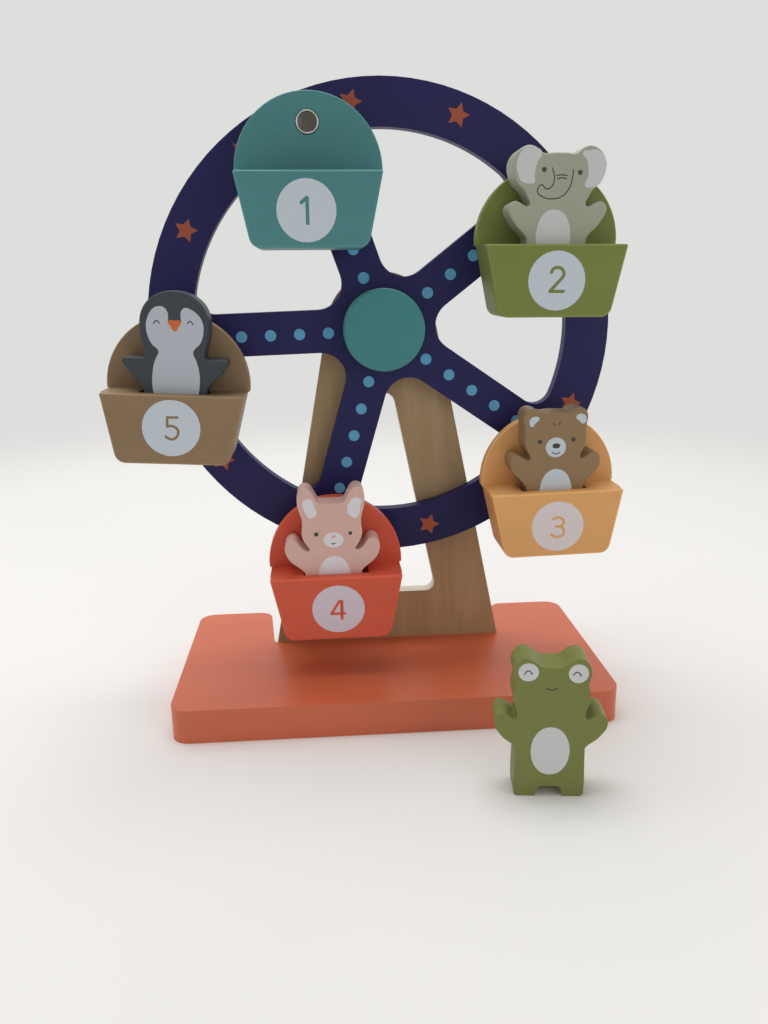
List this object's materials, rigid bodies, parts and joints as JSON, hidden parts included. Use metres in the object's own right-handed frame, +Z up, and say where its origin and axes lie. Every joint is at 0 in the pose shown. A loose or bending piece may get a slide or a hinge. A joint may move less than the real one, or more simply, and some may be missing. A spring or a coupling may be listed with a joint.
{
  "type": "hand-cranked ferris wheel toy",
  "caption": "Wooden Ferris wheel toy on a stand, turned by a small crank behind it, with swinging numbered baskets and lift-out flat animal figures.",
  "frame": {"origin": "middle of the base board's underside", "axes": "+Z up, -Y the way the wheel's face and the numbers look, +X to the right seen from the front"},
  "size_m": [0.2605, 0.1874, 0.3153],
  "materials": {
    "base_paint": "satin orange-red paint on wood",
    "bare_wood": "natural light wood, satin clear coat",
    "navy_paint": "satin navy paint on wood",
    "hub_paint": "satin teal paint on wood",
    "teal_paint": "satin teal paint on wood",
    "olive_paint": "satin olive green paint on wood",
    "apricot_paint": "satin apricot paint on wood",
    "red_paint": "satin red-orange paint on wood",
    "tan_paint": "satin tan paint on wood",
    "grey_paint": "satin warm grey paint on wood",
    "brown_paint": "satin brown paint on wood",
    "pink_paint": "satin pale pink paint on wood",
    "slate_paint": "satin slate grey paint on wood",
    "green_paint": "satin green paint on wood",
    "knob_paint": "satin orange-red paint on wood",
    "steel": "bright zinc plate",
    "nylon": "natural nylon"
  },
  "bodies": {
    "stand": {"base_board": "base_paint", "a_frame_stand": "bare_wood", "foot_screw_1": "steel", "foot_screw_2": "steel", "axle_bearing_sleeve": "nylon"},
    "wheel": {"spoked_wheel": "navy_paint", "hub_cap": "hub_paint", "axle_rod": "steel", "wheel_washer": "nylon", "crank_washer": "nylon", "crank_arm": "bare_wood", "crank_screw": "steel", "crank_knob_pin": "steel", "basket_1_pivot_bolt": "steel", "basket_1_pivot_bush": "nylon", "basket_1_wheel_insert": "steel", "basket_2_pivot_bolt": "steel", "basket_2_pivot_bush": "nylon", "basket_2_wheel_insert": "steel", "basket_3_pivot_bolt": "steel", "basket_3_pivot_bush": "nylon", "basket_3_wheel_insert": "steel", "basket_4_pivot_bolt": "steel", "basket_4_pivot_bush": "nylon", "basket_4_wheel_insert": "steel", "basket_5_pivot_bolt": "steel", "basket_5_pivot_bush": "nylon", "basket_5_wheel_insert": "steel"},
    "crank_knob": {"crank_knob": "knob_paint"},
    "basket_1": {"basket_1_backboard": "teal_paint", "basket_1_pocket_block": "teal_paint", "basket_1_front": "teal_paint"},
    "basket_2": {"basket_2_backboard": "olive_paint", "basket_2_pocket_block": "olive_paint", "basket_2_front": "olive_paint"},
    "basket_3": {"basket_3_backboard": "apricot_paint", "basket_3_pocket_block": "apricot_paint", "basket_3_front": "apricot_paint"},
    "basket_4": {"basket_4_backboard": "red_paint", "basket_4_pocket_block": "red_paint", "basket_4_front": "red_paint"},
    "basket_5": {"basket_5_backboard": "tan_paint", "basket_5_pocket_block": "tan_paint", "basket_5_front": "tan_paint"},
    "elephant": {"elephant": "grey_paint"},
    "bear": {"bear": "brown_paint"},
    "bunny": {"bunny": "pink_paint"},
    "penguin": {"penguin": "slate_paint"},
    "frog": {"frog": "green_paint"}
  },
  "joints": [
    {"name": "wheel_spin", "type": "hinge", "parent": "stand", "child": "wheel", "pos_m": [-0.0006, 0.0108, 0.1953], "axis": [0, 1, 0], "continuous": true},
    {"name": "crank_knob_spin", "type": "hinge", "parent": "wheel", "child": "crank_knob", "pos_m": [0.03422, 0.046, 0.17181], "axis": [0, 1, 0], "continuous": true},
    {"name": "basket_1_pivot", "type": "hinge", "parent": "wheel", "child": "basket_1", "pos_m": [-0.03576, -0.0064, 0.2919], "axis": [0, 1, 0], "continuous": true},
    {"name": "basket_2_pivot", "type": "hinge", "parent": "wheel", "child": "basket_2", "pos_m": [0.08041, -0.0064, 0.25859], "axis": [0, 1, 0], "continuous": true},
    {"name": "basket_3_pivot", "type": "hinge", "parent": "wheel", "child": "basket_3", "pos_m": [0.08463, -0.0064, 0.13781], "axis": [0, 1, 0], "continuous": true},
    {"name": "basket_4_pivot", "type": "hinge", "parent": "wheel", "child": "basket_4", "pos_m": [-0.02894, -0.0064, 0.09648], "axis": [0, 1, 0], "continuous": true},
    {"name": "basket_5_pivot", "type": "hinge", "parent": "wheel", "child": "basket_5", "pos_m": [-0.10334, -0.0064, 0.19171], "axis": [0, 1, 0], "continuous": true},
    {"name": "elephant_lift", "type": "slide", "parent": "basket_2", "child": "elephant", "axis": [0.0105, 0, 0.9999], "range_m": [0, 0.03]},
    {"name": "bear_lift", "type": "slide", "parent": "basket_3", "child": "bear", "axis": [-0.0209, 0, 0.9998], "range_m": [0, 0.03]},
    {"name": "bunny_lift", "type": "slide", "parent": "basket_4", "child": "bunny", "axis": [-0.0087, 0, 1], "range_m": [0, 0.03]},
    {"name": "penguin_lift", "type": "slide", "parent": "basket_5", "child": "penguin", "axis": [0.0576, 0, 0.9983], "range_m": [0, 0.03]},
    {"name": "frog_lift", "type": "slide", "parent": "stand", "child": "frog", "axis": [0, 0, 1], "range_m": [0, 0.03]}
  ],
  "couplings": [
    {"joint": "basket_1_pivot", "follows": "wheel_spin", "ratio": -1},
    {"joint": "basket_2_pivot", "follows": "wheel_spin", "ratio": -1},
    {"joint": "basket_3_pivot", "follows": "wheel_spin", "ratio": -1},
    {"joint": "basket_4_pivot", "follows": "wheel_spin", "ratio": -1},
    {"joint": "basket_5_pivot", "follows": "wheel_spin", "ratio": -1}
  ]
}
